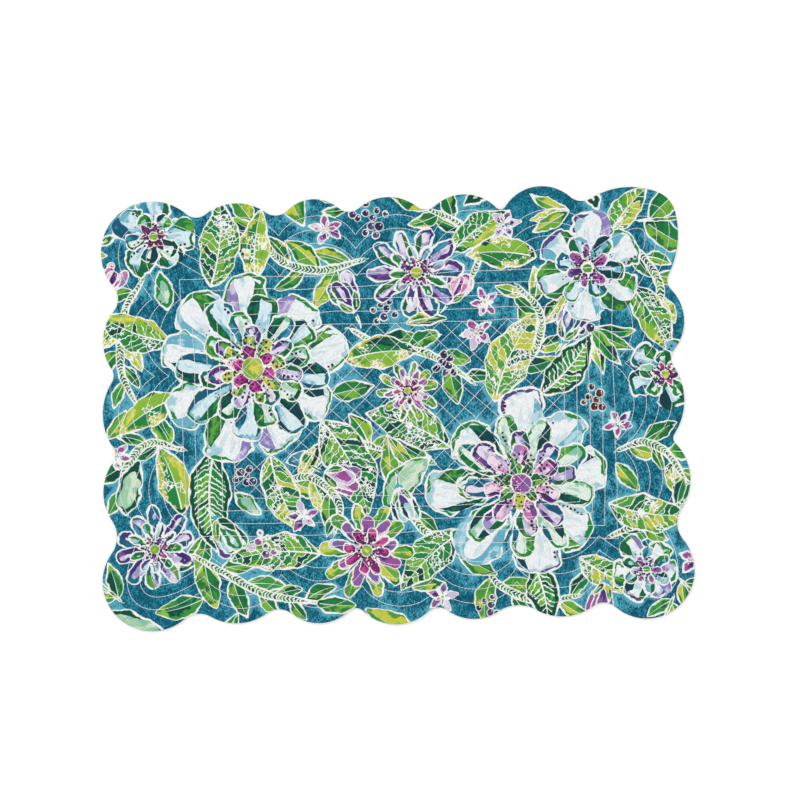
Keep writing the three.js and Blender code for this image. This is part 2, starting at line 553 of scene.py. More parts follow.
# The paint of each mark: light and dark are its washes and blush a third, in patches along its
# edge. accent and dash are the strokes on it. A dot is painted in its ink's dark.
Ink = namedtuple("Ink", "name style light dark blush accent dash", defaults=["#0F4A3C"] * 2)
INKS = [
    Ink("banded leaf", "banded", "#6FA83A", "#257F40", "#1A6A3C", "#0F4A3C", "#B7BE3C"),
    Ink("lime banded leaf", "banded", "#B5BE3E", "#4F9A39", "#2E8A3F", "#17683C", "#D3CB4C"),
    Ink("fishbone leaf", "fishbone", "#6FAE3A", "#23803F", "#17683C", "#0F4A3C", "#0F4A3C"),
    Ink("split leaf", "split", "#7FB03B", "#247D40", "#C3C443", "#0F4A3C", "#17683C"),
    Ink("pale leaf", "pale leaf", "#C9DDC4", "#9CC6A3", "#7FB7A0", "#25803F", "#0F4A3C"),
    Ink("small leaf", "leaf", "#6FA83A", "#217A3E", "#17683C", "#0F4A3C", "#B7BE3C"),
    Ink("lime leaf", "leaf", "#BCC244", "#62A33A", "#34893C", "#1D6E3C", "#1D6E3C"),
    Ink("deep leaf", "leaf", "#1F7548", "#0F4A3E", "#3E9440", "#7FB43A", "#7FB43A"),
    Ink("aqua leaf", "leaf", "#9FCBD6", "#5AA3B6", "#2D7F95", "#1A667E", "#1A667E"),
    Ink("white petal", "petal", "#E4E8E9", "#C6D9DC", "#93C1CC", "#23803F", "#54407E"),
    Ink("mint petal", "petal", "#D9E6DC", "#A9CDB8", "#74B594", "#25803F", "#0F4A3C"),
    Ink("aqua petal", "petal", "#CFE2E7", "#98C4D1", "#5AA2B7", "#17683C", "#1A667E"),
    Ink("lilac petal", "petal", "#DCD5E4", "#B6A9CB", "#8F86BC", "#493374", "#1A667E"),
    Ink("pink petal", "small petal", "#E6D3DE", "#CF9ABF", "#B961A0", "#9A2A74", "#52306A"),
    Ink("magenta petal", "small petal", "#C04690", "#97256F", "#6B2463", "#4B1F4B", "#E2C4DA"),
    Ink("plum petal", "small petal", "#7E5E9C", "#48306C", "#9A4C92", "#C4B5D5", "#D8CDE2"),
    Ink("straw", "bead", "#D4CB58", "#A9B440", "#6FA23A", "#4C8C38", "#4C8C38"),
    Ink("maroon", "bead", "#7E3D46", "#55252E", "#3B1C28", "#2C1A2A", "#2C1A2A"),
    Ink("indigo", "bead", "#5B5588", "#3A3062", "#2B2550", "#221C48", "#221C48"),
    Ink("stem", "stem", "#83B33B", "#257F3F", "#17683C"),
    Ink("thin stem", "thin stem", "#7FB040", "#257F3F", "#17683C"),
    Ink("green stroke", "stroke", "#5BA038", "#22793C", "#0F5A3C"),
    Ink("deep stroke", "stroke", "#1C6648", "#0D4340", "#143A48"),
    Ink("teal stroke", "stroke", "#3C8FA6", "#1C6B84", "#14506B"),
    Ink("aqua stroke", "stroke", "#B0D3DC", "#84BAC9", "#5BA3B8"),
    Ink("lilac stroke", "stroke", "#C6BAD8", "#A090BE", "#7E74AE"),
    Ink("plum stroke", "stroke", "#7A4F8E", "#4D3070", "#3B2A66"),
    Ink("straw stroke", "stroke", "#D3CC5A", "#B0B843", "#7DB03A"),
    Ink("white line", "stroke", "#E8E9EB", "#DCDFE6", "#D5D9E4"),
]
INK_INDEX = {ink.name: i for i, ink in enumerate(INKS)}
# Lookups hold a number as a colour, divided by this.
NUMBER_SCALE = 8.0

PROFILES = {
    "leaf": lambda t: np.sin(np.pi * t**0.85) ** 0.9,
    "petal": lambda t: 1.62 * t**0.62 * (1 - t) ** 0.36,
    "wide": lambda t: 1.62 * t**0.8 * (1 - t) ** 0.34,
    "round": lambda t: np.sqrt(np.clip(1 - (2 * t - 1) ** 2, 0, None)),
}
# A mark has one outline point for each step of its length, and at least so many.
RING_STEP = 1.3
RING_POINTS = 16
# What a mark's reach has to spare, so that its outline and the wobble of its edge lie within it.
REACH_MARGIN = 3
# Points of a curve lie about this far apart.
CURVE_STEP = 2.0


def direction(degrees):
    return np.exp(1j * math.radians(degrees))


class Shape:
    """A painted leaf, petal or berry that grows from a root along a bent axis."""

    line = False

    def __init__(self, root, angle, length, width, bend, ink, profile="leaf", ripple=0.05):
        self.root = root
        self.turn = direction(-angle)
        self.length = length
        self.width = width
        self.bend = math.radians(bend) or 1e-3
        self.profile = PROFILES[profile]
        self.ink = ink
        self.centre = root + direction(angle + bend / 2) * length / 2
        self.reach = 0.5 * math.hypot(length, width) + REACH_MARGIN
        steps = np.linspace(0, np.pi, max(RING_POINTS, int(length / RING_STEP)))
        t = 0.5 - 0.5 * np.cos(steps)
        phase = (root.real * 0.7 + root.imag * 1.3 + angle) % 6.28
        waves = [np.sin(14.5 * t + phase), np.sin(12 * t + 2 * phase + 1)]
        fine = 0.5 * np.sin(31 * t + 3 * phase)
        near, far = (self.half(t) * (1 + ripple * (wave + fine)) for wave in waves)
        self.ring = np.concatenate([t * length + 1j * near, (t * length - 1j * far)[-2:0:-1]])

    def half(self, fraction):
        return self.width / 2 * self.profile(fraction)

    def place(self, fraction, across):
        """Where points given along and across the mark lie on the mat."""
        radius = self.length / self.bend
        swung = (radius - across) * np.exp(1j * fraction * self.bend)
        return self.root + 1j * (radius - swung) / self.turn

    def measure(self, points):
        """Fraction along, distance across and signed distance to the outline, twice."""
        local = (points - self.root) * self.turn
        radius = self.length / self.bend
        swung = np.angle((1j * radius - local) / (1j * radius))
        local = swung * radius + 1j * (radius - np.sign(radius) * abs(local - 1j * radius))
        reach = edge_distance(local, self.ring)
        return local.real / self.length, local.imag, reach, reach


class Stroke:
    """A painted stem or brush line along a smooth path, thinner towards its ends."""

    line = True

    def __init__(self, path, width, ink, taper=0.5):
        self.path = np.asarray(path, complex)
        self.ink = ink
        self.half = width / 2
        self.taper = taper
        self.length = abs(np.diff(self.path)).sum()
        self.centre = (self.path.real.max() + self.path.real.min()) / 2 + 1j * (
            (self.path.imag.max() + self.path.imag.min()) / 2
        )
        self.reach = abs(self.path - self.centre).max() + width + REACH_MARGIN

    def measure(self, points):
        """Fraction along, distance across, minus the half width, and distance to the outline."""
        start, side = self.path[:-1], np.diff(self.path)
        t, away = offsets(points, start, side)
        best = np.argmin(abs(away), axis=1)
        rows = np.arange(len(points))
        lengths = np.concatenate([[0], np.cumsum(abs(side))])
        fraction = (lengths[best] + t[rows, best] * abs(side)[best]) / self.length
        cross = (side.conj()[best] * away[rows, best]).imag
        across = abs(away[rows, best]) * np.where(cross < 0, -1, 1)
        half = self.half * (1 - self.taper * abs(2 * fraction - 1) ** 2)
        return fraction, across, -half, abs(across) - half


def curve(*points):
    """A smooth path through the given points."""
    points = np.asarray(points, complex)
    ends = np.concatenate([[2 * points[0] - points[1]], points, [2 * points[-1] - points[-2]]])
    parts = []
    for a, b, c, d in zip(ends, ends[1:], ends[2:], ends[3:]):
        t = np.linspace(0, 1, max(3, int(abs(c - b) / CURVE_STEP)), endpoint=False)
        parts.append(
            0.5 * (2 * b + (c - a) * t + (2 * a - 5 * b + 4 * c - d) * t**2)
            + 0.5 * (3 * b - a - 3 * c + d) * t**3
        )
    return np.concatenate(parts + [points[-1:]])


# A flower's rings of petals, the outermost first: how many, where they start and end as shares of
# its radius, how wide they are, their shape and their ink.
Ring = namedtuple("Ring", "petals start end width profile ink")
FLOWERS = {
    "rose": [
        Ring(9, 0.24, 1.00, 0.60, "wide", "white petal"),
        Ring(8, 0.20, 0.80, 0.40, "wide", "aqua petal"),
        Ring(8, 0.16, 0.64, 0.30, "wide", "mint petal"),
        Ring(7, 0.12, 0.49, 0.24, "petal", "lilac petal"),
        Ring(8, 0.08, 0.36, 0.17, "wide", "lime leaf"),
        Ring(6, 0.03, 0.27, 0.17, "petal", "magenta petal"),
    ],
    "peony": [
        Ring(8, 0.20, 1.00, 0.64, "wide", "white petal"),
        Ring(9, 0.20, 0.80, 0.34, "petal", "mint petal"),
        Ring(8, 0.16, 0.62, 0.30, "wide", "lilac petal"),
        Ring(7, 0.12, 0.46, 0.24, "wide", "pink petal"),
        Ring(7, 0.04, 0.31, 0.15, "leaf", "small leaf"),
    ],
    "daisy": [
        Ring(10, 0.14, 1.00, 0.42, "petal", "lilac petal"),
        Ring(9, 0.12, 0.64, 0.26, "petal", "white petal"),
        Ring(7, 0.06, 0.42, 0.16, "leaf", "plum petal"),
    ],
    "anemone": [
        Ring(6, 0.10, 1.00, 0.90, "wide", "white petal"),
        Ring(6, 0.10, 0.70, 0.44, "petal", "aqua petal"),
        Ring(6, 0.06, 0.44, 0.24, "petal", "plum petal"),
    ],
    "poppy": [
        Ring(5, 0.06, 1.00, 1.00, "wide", "aqua petal"),
        Ring(5, 0.06, 0.68, 0.54, "wide", "mint petal"),
        Ring(6, 0.04, 0.42, 0.20, "leaf", "magenta petal"),
    ],
    "aster": [
        Ring(10, 0.14, 1.00, 0.36, "petal", "lime leaf"),
        Ring(9, 0.12, 0.76, 0.30, "petal", "plum petal"),
        Ring(8, 0.08, 0.54, 0.26, "petal", "magenta petal"),
    ],
    "star": [
        Ring(5, 0.05, 1.00, 0.50, "leaf", "plum petal"),
        Ring(5, 0.02, 0.60, 0.22, "leaf", "magenta petal"),
    ],
}
# Most hearts are straw. The heart and the rings of pollen round it are shares of the flower's
# radius, and a small flower has no pollen.
HEARTS = {"peony": "plum petal", "anemone": "lime leaf"}
HEART_SHARE = 0.12
POLLEN_RINGS = (0.15, 0.20, 0.25, 0.30)
SMALL_FLOWER = 25

Bloom = namedtuple("Bloom", "kind at radius turn")
BLOOMS = [
    Bloom("rose", -116 + 36j, 80, 12),
    Bloom("peony", 104 - 66j, 76, 5),
    Bloom("anemone", 164 + 112j, 44, 20),
    Bloom("daisy", 22 + 112j, 40, 0),
    Bloom("aster", -26 - 118j, 40, 30),
    Bloom("daisy", -202 - 112j, 36, 15),
    Bloom("poppy", -196 + 148j, 34, 10),
    Bloom("poppy", 226 + 22j, 32, 60),
    Bloom("aster", 12 + 14j, 26, 5),
    Bloom("anemone", 206 - 140j, 30, 0),
    Bloom("star", 70 + 60j, 16, 40),
    Bloom("star", -78 - 88j, 15, 25),
    Bloom("star", 96 + 150j, 15, 5),
    Bloom("star", -232 - 34j, 15, 50),
    Bloom("star", -52 + 150j, 16, 30),
    Bloom("star", 36 - 158j, 14, 15),
    Bloom("star", 186 - 18j, 14, 50),
]

# Large single leaves under the flowers.
Leaf = namedtuple("Leaf", "at angle length width bend ink")
LEAVES = [
    Leaf(-62 - 8j, -48, 92, 40, -35, "banded leaf"),
    Leaf(-150 - 30j, -105, 88, 36, 30, "fishbone leaf"),
    Leaf(-104 - 36j, -82, 70, 30, 25, "lime banded leaf"),
    Leaf(-184 + 60j, 172, 66, 30, -30, "banded leaf"),
    Leaf(-178 + 14j, 196, 60, 26, 30, "split leaf"),
    Leaf(-150 + 104j, 70, 76, 34, 25, "banded leaf"),
    Leaf(-112 + 108j, 96, 62, 26, -25, "split leaf"),
    Leaf(-66 + 88j, 34, 74, 32, 30, "lime banded leaf"),
    Leaf(-40 + 40j, 20, 64, 28, -30, "split leaf"),
    Leaf(46 - 34j, 142, 78, 34, 30, "banded leaf"),
    Leaf(84 + 2j, 78, 84, 36, -30, "lime banded leaf"),
    Leaf(122 + 8j, 34, 68, 30, 30, "fishbone leaf"),
    Leaf(166 - 28j, 44, 74, 30, 35, "banded leaf"),
    Leaf(176 - 84j, -24, 70, 32, 30, "lime banded leaf"),
    Leaf(112 - 132j, -66, 56, 28, -25, "fishbone leaf"),
    Leaf(54 - 104j, -150, 72, 32, 25, "banded leaf"),
    Leaf(-64 - 120j, 168, 78, 32, 30, "banded leaf"),
    Leaf(-10 - 84j, 62, 60, 26, -30, "pale leaf"),
    Leaf(200 + 96j, -52, 66, 28, -20, "banded leaf"),
    Leaf(122 + 122j, 164, 60, 28, 25, "split leaf"),
    Leaf(184 + 140j, 62, 50, 24, -25, "lime banded leaf"),
    Leaf(-178 - 84j, 98, 62, 28, 20, "split leaf"),
    Leaf(-226 - 84j, 84, 50, 22, -20, "pale leaf"),
    Leaf(52 + 128j, 48, 60, 26, -30, "banded leaf"),
    Leaf(150 - 128j, -40, 60, 26, 25, "lime banded leaf"),
]

# Leafy stems: the points that the stem runs through, its leaves' length and shape, and their
# number and ink.
Spray = namedtuple("Spray", "path leaf slim pairs ink")
SPRAYS = [
    Spray((-34 + 66j, -8 + 52j, 30 + 44j, 66 + 20j), 36, 0.46, 4, "small leaf"),
    Spray((-98 - 60j, -70 - 56j, -48 - 78j, -52 - 102j), 36, 0.44, 4, "lime leaf"),
    Spray((26 - 46j, 10 - 70j, 18 - 98j, 50 - 122j), 38, 0.42, 4, "small leaf"),
    Spray((96 + 26j, 118 + 44j, 124 + 74j, 106 + 98j), 36, 0.44, 4, "split leaf"),
    Spray((66 + 104j, 74 + 126j, 60 + 150j, 34 + 164j), 36, 0.42, 3, "small leaf"),
    Spray((-22 + 124j, -58 + 116j, -92 + 126j, -112 + 156j), 38, 0.42, 4, "lime leaf"),
    Spray((-206 + 112j, -222 + 84j, -226 + 40j, -214 + 8j), 36, 0.44, 4, "small leaf"),
    Spray((-176 - 30j, -206 - 24j, -226 - 50j, -224 - 80j), 34, 0.46, 4, "deep leaf"),
    Spray((-170 - 118j, -140 - 136j, -110 - 152j, -70 - 160j), 36, 0.44, 4, "small leaf"),
    Spray((74 - 134j, 84 - 150j, 116 - 164j, 150 - 160j), 36, 0.42, 4, "lime leaf"),
    Spray((176 - 112j, 196 - 104j, 218 - 100j, 238 - 84j), 32, 0.46, 3, "small leaf"),
    Spray((186 - 40j, 206 - 34j, 226 - 44j, 240 - 66j), 32, 0.46, 3, "lime leaf"),
    Spray((196 + 132j, 212 + 118j, 224 + 92j, 216 + 62j), 34, 0.44, 4, "split leaf"),
    Spray((-12 - 34j, -34 - 28j, -58 - 36j, -76 - 56j), 30, 0.46, 3, "aqua leaf"),
]

# Slender leaves that fan out from one point.
Fan = namedtuple("Fan", "at angle length count spread")
FANS = [
    Fan(-6 - 22j, -72, 52, 7, 120),
    Fan(164 + 62j, -60, 50, 6, 110),
    Fan(-122 + 138j, 24, 44, 6, 100),
    Fan(12 + 70j, 66, 44, 6, 120),
    Fan(-158 - 100j, -60, 48, 7, 120),
    Fan(-240 - 20j, 10, 40, 5, 90),
    Fan(10 - 150j, 40, 40, 6, 100),
    Fan(150 + 160j, -150, 40, 5, 90),
]

# Half-open buds on short stalks.
Bud = namedtuple("Bud", "at angle size ink")
BUDS = [
    Bud(-30 + 80j, 118, 36, "lilac petal"),
    Bud(48 + 86j, 60, 32, "pink petal"),
    Bud(-150 - 88j, -60, 38, "white petal"),
    Bud(142 + 52j, 66, 36, "lilac petal"),
    Bud(-60 - 52j, -20, 36, "plum petal"),
    Bud(2 - 66j, -76, 32, "white petal"),
    Bud(-238 + 100j, 60, 28, "pink petal"),
    Bud(172 - 150j, -108, 30, "plum petal"),
]

# Clusters of berries.
Berries = namedtuple("Berries", "at spread count ink")
BERRIES = [
    Berries(-6 + 82j, 12, 8, "indigo"),
    Berries(-112 - 112j, 12, 7, "plum petal"),
    Berries(156 + 66j, 12, 8, "indigo"),
    Berries(74 - 166j, 10, 6, "indigo"),
    Berries(-236 + 118j, 9, 5, "magenta petal"),
    Berries(44 + 34j, 10, 7, "indigo"),
]

# What fills the bare ground: kinds in turn, until no gap is wider than this.
FILLERS = ("leaf", "sprig", "leaf", "berries", "leaf", "sprig", "leaf", "star")
FILLER_LIMIT = 60
FILLER_ROOM = 12.5
FILLER_LEAVES = ("split leaf", "small leaf", "lime leaf", "deep leaf", "fishbone leaf", "pale leaf")
PLAIN_LEAVES = FILLER_LEAVES[:4]
# Gaps are looked for in steps inside a box round the mat, whose half size this is, and a little
# outside the edge. No gap counts as wider than WIDEST_GAP.
HALF_BOX = 252 + 188j
GAP_STEP = 4.0
GAP_OUTSIDE = 3.0
WIDEST_GAP = 40.0

# The brushed crescents that suit each ink, and from what size on petals and leaves have them.
CRESCENTS = {
    "white petal": ("green stroke", "deep stroke", "green stroke", "aqua stroke", "lilac stroke"),
    "mint petal": ("green stroke", "deep stroke", "teal stroke"),
    "aqua petal": ("teal stroke", "deep stroke", "green stroke"),
    "lilac petal": ("plum stroke", "teal stroke", "green stroke"),
    "pink petal": ("plum stroke", "lilac stroke"),
    "banded leaf": ("straw stroke",),
    "split leaf": ("straw stroke", "deep stroke"),
}
CRESCENT_POINTS = 14
CRESCENT_INSET = 1.4
LONG_PETAL = 13
WIDE_PETAL = 18
LONG_LEAF = 24

STEM_WIDTH = 7.6
STALK_WIDTH = 3.0
SPRIG_STALK_WIDTH = 3.4
# Berries that turn on by this many degrees never line up.
GOLDEN_ANGLE = 137.5

# level is how many marks of its coat lie under a dot.
Dot = namedtuple("Dot", "at radius ink level")
Coat = namedtuple("Coat", "marks dots")


class Painting:
    """The print as coats of paint, the lowest first, each with its marks and the dots on them."""

    def __init__(self, seed):
        self.random = np.random.RandomState(seed)
        self.coats = []

    def below(self):
        """Starts a coat under all the others."""
        self.coats.insert(0, Coat([], []))

    def add(self, mark):
        self.coats[0].marks.append(mark)
        return mark

    def dot(self, at, radius, ink):
        coat = self.coats[0]
        coat.dots.append(Dot(at, radius, ink, len(coat.marks)))

    def pick(self, names):
        return names[self.random.randint(len(names))]

    def marks(self):
        """Every mark, the lowest first."""
        return [mark for coat in self.coats for mark in coat.marks]

    def covered(self, points):
        """Which points lie under marks of higher coats."""
        hidden = np.zeros(len(points), bool)
        for coat in self.coats[1:]:
            for mark in coat.marks:
                near = np.nonzero(~hidden & (abs(points - mark.centre) < mark.reach))[0]
                if len(near):
                    hidden[near] = mark.measure(points[near])[3] < 0
        return hidden

    def shown_dots(self):
        """The dots that no higher mark covers."""
        dots, start = [], 0
        for coat in self.coats:
            dots += [dot._replace(level=dot.level + start) for dot in coat.dots]
            start += len(coat.marks)
        at = np.array([dot.at for dot in dots])
        level = np.array([dot.level for dot in dots])
        shown = np.ones(len(at), bool)
        for number, mark in enumerate(self.marks()):
            near = np.nonzero((level <= number) & (abs(at - mark.centre) < mark.reach))[0]
            if len(near):
                shown[near] &= mark.measure(at[near])[3] > 0.3
        return [dot for dot, keep in zip(dots, shown) if keep]

    def brushwork(self, petal):
        """A crescent inside one edge of a petal, and a second one or dots inside the other."""
        random = self.random
        side = self.pick((-1, 1))
        wide = petal.width > WIDE_PETAL
        if petal.ink in CRESCENTS:
            self.crescent(petal, side, random.uniform(0.18, 0.34))
            if wide and random.uniform() < 0.6:
                self.crescent(petal, -side, random.uniform(0.12, 0.24))
                return
        if wide and random.uniform() < 0.7:
            ink = self.pick(("plum petal", "indigo", "maroon"))
            first, last = random.uniform(0.15, 0.45), random.uniform(0.7, 0.92)
            for i, t in enumerate(np.arange(first, last, 3.4 / petal.length)):
                across = -side * max(petal.half(t) - 5.0 - 0.7 * (i % 2), 0.5)
                self.dot(petal.place(t, across), random.uniform(0.85, 1.35), ink)

    def crescent(self, petal, side, share):
        """A brushed stroke that follows one edge, thick in its middle."""
        first, last = self.random.uniform(0.12, 0.5), self.random.uniform(0.8, 1.0)
        t = np.linspace(first, last, CRESCENT_POINTS)
        width = petal.width * share
        across = side * np.maximum(petal.half(t) - CRESCENT_INSET - 0.5 * width, 0.3)
        self.add(Stroke(petal.place(t, across), width, self.pick(CRESCENTS[petal.ink]), 0.9))

    def petal(self, *measures):
        petal = self.add(Shape(*measures))
        if petal.length > LONG_PETAL:
            self.brushwork(petal)

    def disc(self, at, radius, ink, ripple):
        self.add(Shape(at - radius, 0, 2 * radius, 2 * radius, 0, ink, "round", ripple))

    def leaf(self, root, angle, length, width, bend, ink):
        """A leaf with a streak along one side, unless higher coats would hide most of it."""
        leaf = Shape(root, angle, length, width, bend, ink, "leaf", 0.07)
        if self.covered(leaf.place(np.array([0.3, 0.55, 0.8]), 0.0)).sum() > 1:
            return
        self.add(leaf)
        if length > LONG_LEAF and ink in CRESCENTS and self.random.uniform() < 0.6:
            self.crescent(leaf, self.pick((-1, 1)), 0.24)

    def single(self, leaf):
        """One leaf of the table."""
        self.leaf(*leaf)

    def flower(self, bloom):
        """Rings of petals round a heart, with dots of pollen."""
        random, centre, radius = self.random, bloom.at, bloom.radius
        for order, ring in enumerate(FLOWERS[bloom.kind]):
            step = 360 / ring.petals
            for petal in range(ring.petals):
                angle = bloom.turn + step * (petal + 0.5 * order) + random.uniform(-0.14, 0.14) * step
                length = radius * (ring.end * random.uniform(0.88, 1.07) - ring.start)
                width = radius * ring.width * random.uniform(0.9, 1.12)
                bend = random.uniform(-30, 30)
                root = centre + radius * ring.start * direction(angle)
                self.petal(root, angle - bend / 2, length, width, bend, ring.ink, ring.profile, 0.1)
        self.disc(centre, radius * HEART_SHARE, HEARTS.get(bloom.kind, "straw"), 0.04)
        if radius < SMALL_FLOWER:
            return
        for ring, share in enumerate(POLLEN_RINGS):
            count = int(10 + radius * (0.12 + 0.07 * ring))
            for i in range(count):
                angle = 360 * (i + random.uniform(-0.3, 0.3)) / count
                at = centre + radius * share * random.uniform(0.92, 1.1) * direction(angle)
                self.dot(at, random.uniform(0.8, 1.3), self.pick(("indigo", "indigo", "maroon")))

    def spray(self, spray):
        """A stem with leaves on both sides in turn and one at its tip."""
        random = self.random
        path = curve(*spray.path)
        lengths = np.concatenate([[0], np.cumsum(abs(np.diff(path)))])
        for i in (*range(0, 2 * spray.pairs, 2), *range(1, 2 * spray.pairs, 2)):
            at = lengths[-1] * (i + 0.8) / (2 * spray.pairs + 0.6)
            index = min(np.searchsorted(lengths, at), len(path) - 1)
            heading = math.degrees(np.angle(path[index] - path[index - 1]))
            side = 1 if i % 2 else -1
            angle = heading + side * random.uniform(34, 58)
            long = spray.leaf * random.uniform(0.8, 1.2) * (1.0 - 0.25 * at / lengths[-1])
            ink = spray.ink if random.uniform() < 0.5 else self.pick(PLAIN_LEAVES)
            wide = long * spray.slim * random.uniform(0.85, 1.15)
            self.leaf(path[index], angle, long, wide, -side * random.uniform(10, 40), ink)
        self.add(Stroke(path, STEM_WIDTH, "stem"))
        heading = math.degrees(np.angle(path[-1] - path[-2]))
        self.leaf(path[-1], heading, spray.leaf, spray.leaf * spray.slim, 12, spray.ink)

    def fan(self, fan):
        """Slender curving leaves from one point, longest in the middle."""
        random = self.random
        for i in sorted(range(fan.count), key=lambda i: -abs(2 * i + 1 - fan.count)):
            share = (i + 0.5) / fan.count - 0.5
            angle = fan.angle + fan.spread * share + random.uniform(-5, 5)
            long = fan.length * (1 - 0.5 * abs(share)) * random.uniform(0.85, 1.15)
            wide = random.uniform(11, 16)
            ink = self.pick(("small leaf", "lime leaf", "split leaf", "deep leaf", "small leaf"))
            self.leaf(fan.at, angle, long, wide, 50 * share + random.uniform(-10, 10), ink)

    def bud(self, bud):
        """A half-open flower: petals side by side between two green sepals."""
        random, root, size = self.random, bud.at, bud.size
        ahead = size * direction(bud.angle)
        if self.covered(root + ahead * np.array([0.1, 0.4, 0.7])).sum() > 1:
            return
        stalk = root - 0.3 * size * direction(bud.angle + random.uniform(-25, 25))
        self.add(Stroke(curve(stalk, root, root + 0.1 * ahead), STALK_WIDTH, "thin stem"))
        for spread in (-24, 24, -8, 9):
            length = size * random.uniform(0.85, 1.05) * (1 if abs(spread) > 10 else 0.9)
            bend = -0.8 * spread
            self.petal(root, bud.angle + spread, length, size * 0.42, bend, bud.ink, "petal", 0.08)
        for spread in (-42, 40):
            bend = -0.7 * spread
            self.add(Shape(root, bud.angle + spread, size * 0.55, size * 0.2, bend, "small leaf"))

    def sprig(self, middle, angle, size):
        """A few leaves that fan out from one stalk."""
        root = middle - 0.5 * size * direction(angle)
        path = curve(root, middle, middle + 0.2 * size * direction(angle + 12))
        for along, spread, share in ((0.1, -42, 0.74), (0.2, 46, 0.72), (0.7, 3, 0.7)):
            at = path[int(along * (len(path) - 1))]
            length = size * share * self.random.uniform(0.9, 1.15)
            ink = self.pick(PLAIN_LEAVES)
            self.leaf(at, angle + spread, length, 0.44 * length, -0.4 * spread, ink)
        self.add(Stroke(path, SPRIG_STALK_WIDTH, "thin stem"))

    def berries(self, berries):
        """A handful of round berries, each with a white glint."""
        for i in range(berries.count):
            angle = GOLDEN_ANGLE * i + self.random.uniform(-12, 12)
            out = berries.spread * math.sqrt((i + 0.3) / berries.count)
            at = berries.at + out * direction(angle)
            radius = self.random.uniform(2.7, 4.2)
            self.disc(at, radius, berries.ink, 0.03)
            self.dot(at + 0.3 * radius * (1 + 1j), 0.6, "white line")

    def filler(self, kind, at, room):
        """One small motif that fills a gap of the given radius."""
        angle = self.random.uniform(0, 360)
        length = 2.1 * room
        if kind == "sprig":
            self.sprig(at, angle, length)
        elif kind == "leaf":
            root = at - 0.5 * length * direction(angle)
            ink = self.pick(FILLER_LEAVES)
            self.leaf(root, angle, length, 0.46 * length, self.random.uniform(-30, 30), ink)
        elif kind == "star":
            self.flower(Bloom("star", at, 0.95 * room, angle))
        else:
            ink = self.pick(("indigo", "plum petal", "maroon", "indigo"))
            self.berries(Berries(at, 0.7 * room, int(room / 2), ink))


def fill_gaps(painting):
    """Small motifs, under all the others, wherever the ground is bare over a wide gap."""
    grid = hexagon_points(GAP_STEP, -HALF_BOX, HALF_BOX)
    grid = grid[edge_distance(grid, outline(1.5 * GAP_STEP)) < GAP_OUTSIDE]
    clear = np.full(len(grid), WIDEST_GAP)
    fresh = painting.marks()
    for number in range(FILLER_LIMIT):
        for mark in fresh:
            near = np.nonzero(abs(grid - mark.centre) < mark.reach + WIDEST_GAP)[0]
            if len(near):
                clear[near] = np.minimum(clear[near], mark.measure(grid[near])[3])
        widest = np.argmax(clear)
        if clear[widest] < FILLER_ROOM:
            break
        painting.below()
        painting.filler(FILLERS[number % len(FILLERS)], grid[widest], clear[widest])
        clear[widest] = min(clear[widest], 0.5 * FILLER_ROOM)
        fresh = painting.coats[0].marks


def paint_print():
    """Every mark of the print, the lowest first, and the dots that lie on top of them."""
    painting = Painting(3)
    motifs = (
        (sorted(BLOOMS, key=lambda bloom: -bloom.radius), painting.flower),
        (BUDS, painting.bud),
        (BERRIES, painting.berries),
        (LEAVES, painting.single),
        (SPRAYS, painting.spray),
        (FANS, painting.fan),
    )
    for rows, paint in motifs:
        for row in rows:
            painting.below()
            paint(row)
    fill_gaps(painting)
    return painting.marks(), painting.shown_dots()


# How many marks and how many dots one face can carry.
LAYERS = 6
DOT_LAYERS = 2
# A face carries a mark up to this far outside it, and nothing below a mark whose edge lies so far
# outside the face.
MARGIN = 2.2
FULLY_COVERED = -1.2
# The ground is washed out up to this far from a mark. The others stand for far from every mark.
HALO_REACH = 8
WIDEST_BARE = 15.0
FAR_AWAY = 99.0
# Steps of this share of a turn give neighbouring marks seeds that differ most.
GOLDEN = 0.618


def table_place(ink):
    """Where an ink stands in a lookup, as a share of the table."""
    return (INK_INDEX[ink] + 0.5) / len(INKS)


def print_fields(points, faces, marks, total):
    """For each of the mesh's total faces the few marks that may show on it, the topmost first.

    Only the first faces, those given, are printed. Each layer has the place of each face corner in
    its mark (fraction along, distance across, distance to the outline) and the mark's ink, seed and
    length, below zero for a line. The last field is how far each point lies from the nearest mark."""
    places = np.zeros((LAYERS, total, 3, 3), np.float32)
    places[:, :, :, 2] = FAR_AWAY
    inks = np.zeros((LAYERS, total, 3), np.float32)
    bare = np.full(len(points), WIDEST_BARE)
    used = np.zeros(len(faces), int)
    covered = np.zeros(len(faces), bool)
    middles = points[faces].mean(axis=1)
    for number, mark in reversed(list(enumerate(marks))):
        near = np.nonzero(abs(points - mark.centre) < mark.reach + HALO_REACH)[0]
        inside = np.nonzero((abs(middles - mark.centre) < mark.reach) & ~covered)[0]
        if len(near) == 0 or len(inside) == 0:
            continue
        measures = np.stack(mark.measure(points[near]), 1)
        bare[near] = np.minimum(bare[near], measures[:, 3])
        table = np.zeros((len(points), 4), np.float32)
        table[near] = measures
        corner = table[faces[inside]]
        shown = (corner[:, :, 3].min(axis=1) < MARGIN) & (used[inside] < LAYERS)
        inside, corner = inside[shown], corner[shown]
        layer = used[inside]
        places[layer, inside] = corner[:, :, :3]
        seed = (number * GOLDEN) % 1.0
        length = -mark.length if mark.line else mark.length
        inks[layer, inside] = (table_place(mark.ink), seed, length)
        used[inside] += 1
        covered[inside] |= corner[:, :, 3].max(axis=1) < FULLY_COVERED
    return places, inks, bare


